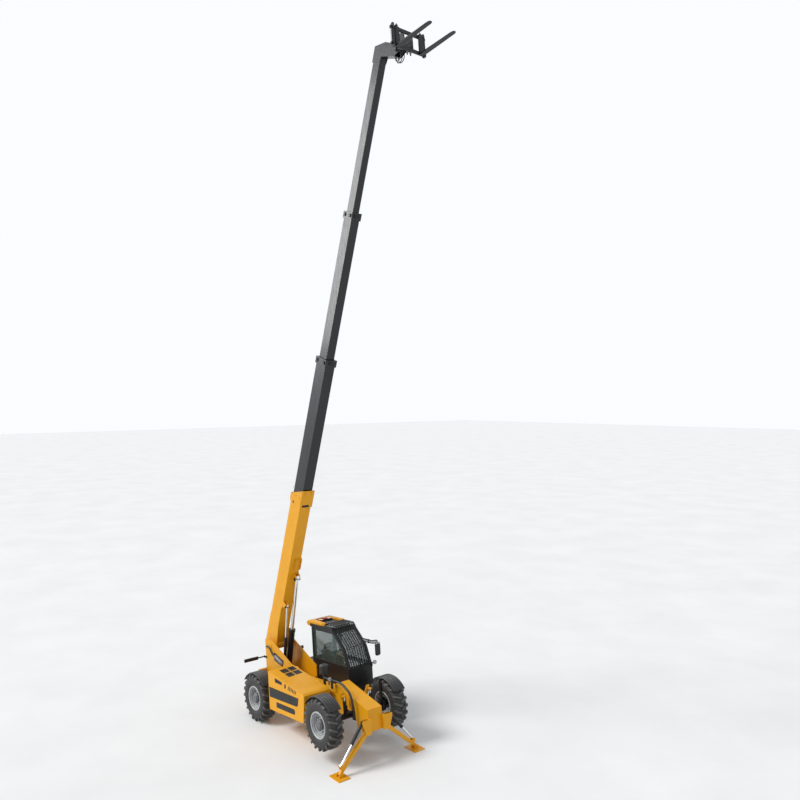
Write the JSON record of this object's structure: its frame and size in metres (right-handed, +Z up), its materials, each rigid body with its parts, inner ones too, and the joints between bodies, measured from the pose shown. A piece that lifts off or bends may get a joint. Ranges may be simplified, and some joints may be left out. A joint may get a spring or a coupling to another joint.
{
  "type": "telehandler",
  "caption": "Rough-terrain telescopic handler on stabilisers, boom raised and extended, with fork carriage, side cab and side engine.",
  "frame": {"origin": "on the ground, under the centre of the machine's overall box as it stands", "axes": "+X forward, level; +Y to the machine's left; +Z up"},
  "size_m": [7.7192, 2.67, 17.6267],
  "materials": {
    "yellow_paint": "semi-gloss, weathered",
    "black_paint": "satin",
    "rim_grey": "satin",
    "tyre": "matte",
    "guard_plastic": "matte",
    "rod_chrome": "polished",
    "seat_fabric": "woven",
    "engine_metal": "as cast"
  },
  "bodies": {
    "chassis": {"chassis": "yellow_paint", "boom_tower": "yellow_paint", "counterweight": "yellow_paint", "stabiliser_brackets": "yellow_paint", "outriggers": "yellow_paint", "front_axle": "black_paint", "rear_axle": "black_paint", "cab_tub": "black_paint", "cab_right_side": "black_paint", "cab_rear": "black_paint", "cab_windscreen_frame": "black_paint", "cab_roof": "black_paint", "seat": "seat_fabric", "steering_wheel": "guard_plastic", "engine_pod": "yellow_paint", "engine": "engine_metal", "rear_lamps": "guard_plastic", "mirror": "guard_plastic", "air_cleaner": "guard_plastic"},
    "outer_boom": {"outer_boom": "yellow_paint"},
    "boom_2": {"boom_section_2": "black_paint"},
    "boom_3": {"boom_section_3": "black_paint"},
    "boom_4": {"boom_section_4": "black_paint"},
    "carriage": {"fork_carriage": "black_paint", "forks": "black_paint"},
    "lift_barrel": {"lift_cylinder_barrel": "black_paint"},
    "lift_rod": {"lift_cylinder_rod": "rod_chrome"},
    "compensation_barrel": {"compensation_cylinder_barrel": "black_paint"},
    "compensation_rod": {"compensation_cylinder_rod": "rod_chrome"},
    "tilt_barrel": {"tilt_cylinder_barrel": "black_paint"},
    "tilt_rod": {"tilt_cylinder_rod": "rod_chrome"},
    "door": {"cab_door": "black_paint"},
    "hood": {"engine_hood": "yellow_paint"},
    "leg_left": {"stabiliser_leg_left": "yellow_paint"},
    "pad_left": {"stabiliser_pad_left": "yellow_paint"},
    "leg_barrel_left": {"stabiliser_cylinder_left_barrel": "black_paint"},
    "leg_rod_left": {"stabiliser_cylinder_left_rod": "rod_chrome"},
    "leg_right": {"stabiliser_leg_right": "yellow_paint"},
    "pad_right": {"stabiliser_pad_right": "yellow_paint"},
    "leg_barrel_right": {"stabiliser_cylinder_right_barrel": "black_paint"},
    "leg_rod_right": {"stabiliser_cylinder_right_rod": "rod_chrome"},
    "knuckle_front_left": {"knuckle_front_left": "black_paint", "mudguard_front_left": "guard_plastic"},
    "wheel_front_left": {"tyre_front_left": "tyre", "rim_front_left": "rim_grey"},
    "knuckle_front_right": {"knuckle_front_right": "black_paint", "mudguard_front_right": "guard_plastic"},
    "wheel_front_right": {"tyre_front_right": "tyre", "rim_front_right": "rim_grey"},
    "knuckle_rear_left": {"knuckle_rear_left": "black_paint", "mudguard_rear_left": "guard_plastic"},
    "wheel_rear_left": {"tyre_rear_left": "tyre", "rim_rear_left": "rim_grey"},
    "knuckle_rear_right": {"knuckle_rear_right": "black_paint", "mudguard_rear_right": "guard_plastic"},
    "wheel_rear_right": {"tyre_rear_right": "tyre", "rim_rear_right": "rim_grey"}
  },
  "joints": [
    {"name": "boom_lift", "type": "hinge", "parent": "chassis", "child": "outer_boom", "pos_m": [-3.34285, 0, 1.7259], "axis": [0, -1, 0], "range_deg": [-69, 0]},
    {"name": "boom_extend_2", "type": "slide", "parent": "outer_boom", "child": "boom_2", "axis": [0.3161, 0, 0.9487], "range_m": [-3.59, 0]},
    {"name": "boom_extend_3", "type": "slide", "parent": "boom_2", "child": "boom_3", "axis": [0.3161, 0, 0.9487], "range_m": [-3.59, 0]},
    {"name": "boom_extend_4", "type": "slide", "parent": "boom_3", "child": "boom_4", "axis": [0.3161, 0, 0.9487], "range_m": [-3.59, 0]},
    {"name": "lift_cylinder_swing", "type": "hinge", "parent": "chassis", "child": "lift_barrel", "pos_m": [-3.04791, 0, 0.97104], "axis": [0, -1, 0], "range_deg": [-59.46, 0.6]},
    {"name": "lift_cylinder_stroke", "type": "slide", "parent": "lift_barrel", "child": "lift_rod", "axis": [0.1799, 0, 0.9837], "range_m": [-0.81319, 0.006]},
    {"name": "compensation_cylinder_swing", "type": "hinge", "parent": "chassis", "child": "compensation_barrel", "pos_m": [-2.90447, 0, 1.04537], "axis": [0, -1, 0], "range_deg": [-55.11, 0.6]},
    {"name": "compensation_cylinder_stroke", "type": "slide", "parent": "compensation_barrel", "child": "compensation_rod", "axis": [0.0844, 0, 0.9964], "range_m": [-0.84299, 0.006]},
    {"name": "fork_tilt", "type": "hinge", "parent": "boom_4", "child": "carriage", "pos_m": [2.36688, 0, 17.27848], "axis": [0, 1, 0], "range_deg": [-78, 40]},
    {"name": "tilt_cylinder_swing", "type": "hinge", "parent": "boom_4", "child": "tilt_barrel", "pos_m": [1.58895, 0, 17.47447], "axis": [0, -1, 0], "range_deg": [-1.53, 2.41]},
    {"name": "tilt_cylinder_stroke", "type": "slide", "parent": "tilt_barrel", "child": "tilt_rod", "axis": [0.9995, 0, -0.0322], "range_m": [-0.25431, 0.13334]},
    {"name": "stabiliser_left", "type": "hinge", "parent": "chassis", "child": "leg_left", "pos_m": [1.33584, 0.345, 0.78718], "axis": [-0.9952, 0, -0.0974], "range_deg": [-87, 0]},
    {"name": "pad_left", "type": "hinge", "parent": "leg_left", "child": "pad_left", "pos_m": [1.40555, 1.17, 0.075], "axis": [-1, 0, 0], "range_deg": [-20, 20]},
    {"name": "leg_cylinder_left_swing", "type": "hinge", "parent": "chassis", "child": "leg_barrel_left", "pos_m": [1.30857, 0.425, 1.06585], "axis": [0.9952, 0, 0.0974], "range_deg": [-0.6, 93.26]},
    {"name": "leg_cylinder_left_stroke", "type": "slide", "parent": "leg_barrel_left", "child": "leg_rod_left", "axis": [0.0742, 0.6478, -0.7582], "range_m": [-0.39765, 0.006]},
    {"name": "stabiliser_right", "type": "hinge", "parent": "chassis", "child": "leg_right", "pos_m": [1.33584, -0.345, 0.78718], "axis": [0.9952, 0, 0.0974], "range_deg": [-87, 0]},
    {"name": "pad_right", "type": "hinge", "parent": "leg_right", "child": "pad_right", "pos_m": [1.40555, -1.17, 0.075], "axis": [1, 0, 0], "range_deg": [-20, 20]},
    {"name": "leg_cylinder_right_swing", "type": "hinge", "parent": "chassis", "child": "leg_barrel_right", "pos_m": [1.30857, -0.425, 1.06585], "axis": [-0.9952, 0, -0.0974], "range_deg": [-0.6, 93.26]},
    {"name": "leg_cylinder_right_stroke", "type": "slide", "parent": "leg_barrel_right", "child": "leg_rod_right", "axis": [0.0742, -0.6478, -0.7582], "range_m": [-0.39765, 0.006]},
    {"name": "steer_front_left", "type": "hinge", "parent": "chassis", "child": "knuckle_front_left", "pos_m": [0.49287, 0.868, 0.9408], "axis": [-0.0974, 0, 0.9952], "range_deg": [-30, 30]},
    {"name": "spin_front_left", "type": "hinge", "parent": "knuckle_front_left", "child": "wheel_front_left", "pos_m": [0.49287, 1.015, 0.9408], "axis": [0, 1, 0], "continuous": true},
    {"name": "steer_front_right", "type": "hinge", "parent": "chassis", "child": "knuckle_front_right", "pos_m": [0.49287, -0.868, 0.9408], "axis": [-0.0974, 0, 0.9952], "range_deg": [-30, 30]},
    {"name": "spin_front_right", "type": "hinge", "parent": "knuckle_front_right", "child": "wheel_front_right", "pos_m": [0.49287, -1.015, 0.9408], "axis": [0, 1, 0], "continuous": true},
    {"name": "steer_rear_left", "type": "hinge", "parent": "chassis", "child": "knuckle_rear_left", "pos_m": [-2.73371, 0.868, 0.625], "axis": [-0.0974, 0, 0.9952], "range_deg": [-30, 30]},
    {"name": "spin_rear_left", "type": "hinge", "parent": "knuckle_rear_left", "child": "wheel_rear_left", "pos_m": [-2.73371, 1.015, 0.625], "axis": [0, 1, 0], "continuous": true},
    {"name": "steer_rear_right", "type": "hinge", "parent": "chassis", "child": "knuckle_rear_right", "pos_m": [-2.73371, -0.868, 0.625], "axis": [-0.0974, 0, 0.9952], "range_deg": [-30, 30]},
    {"name": "spin_rear_right", "type": "hinge", "parent": "knuckle_rear_right", "child": "wheel_rear_right", "pos_m": [-2.73371, -1.015, 0.625], "axis": [0, 1, 0], "continuous": true},
    {"name": "cab_door", "type": "hinge", "parent": "chassis", "child": "door", "pos_m": [-1.83863, 1.163, 1.59179], "axis": [-0.0974, 0, 0.9952], "range_deg": [0, 100]},
    {"name": "engine_hood", "type": "hinge", "parent": "chassis", "child": "hood", "pos_m": [-2.04117, -0.346, 1.56694], "axis": [-0.9982, 0, 0.0607], "range_deg": [0, 60]}
  ],
  "couplings": [
    {"joint": "boom_extend_3", "follows": "boom_extend_2", "ratio": 1},
    {"joint": "boom_extend_4", "follows": "boom_extend_2", "ratio": 1},
    {"joint": "lift_cylinder_swing", "follows": "boom_lift", "ratio": 0.8531},
    {"joint": "lift_cylinder_stroke", "follows": "boom_lift", "m_per_rad": 0.67027},
    {"joint": "compensation_cylinder_swing", "follows": "boom_lift", "ratio": 0.79004},
    {"joint": "compensation_cylinder_stroke", "follows": "boom_lift", "m_per_rad": 0.69502},
    {"joint": "tilt_cylinder_swing", "follows": "fork_tilt", "ratio": -0.02317},
    {"joint": "tilt_cylinder_stroke", "follows": "fork_tilt", "m_per_rad": 0.1824},
    {"joint": "leg_cylinder_left_swing", "follows": "stabiliser_left", "ratio": -1.065},
    {"joint": "leg_cylinder_left_stroke", "follows": "stabiliser_left", "m_per_rad": 0.25793},
    {"joint": "leg_cylinder_right_swing", "follows": "stabiliser_right", "ratio": -1.065},
    {"joint": "leg_cylinder_right_stroke", "follows": "stabiliser_right", "m_per_rad": 0.25793},
    {"joint": "steer_front_right", "follows": "steer_front_left", "ratio": 1},
    {"joint": "steer_rear_right", "follows": "steer_rear_left", "ratio": 1}
  ]
}
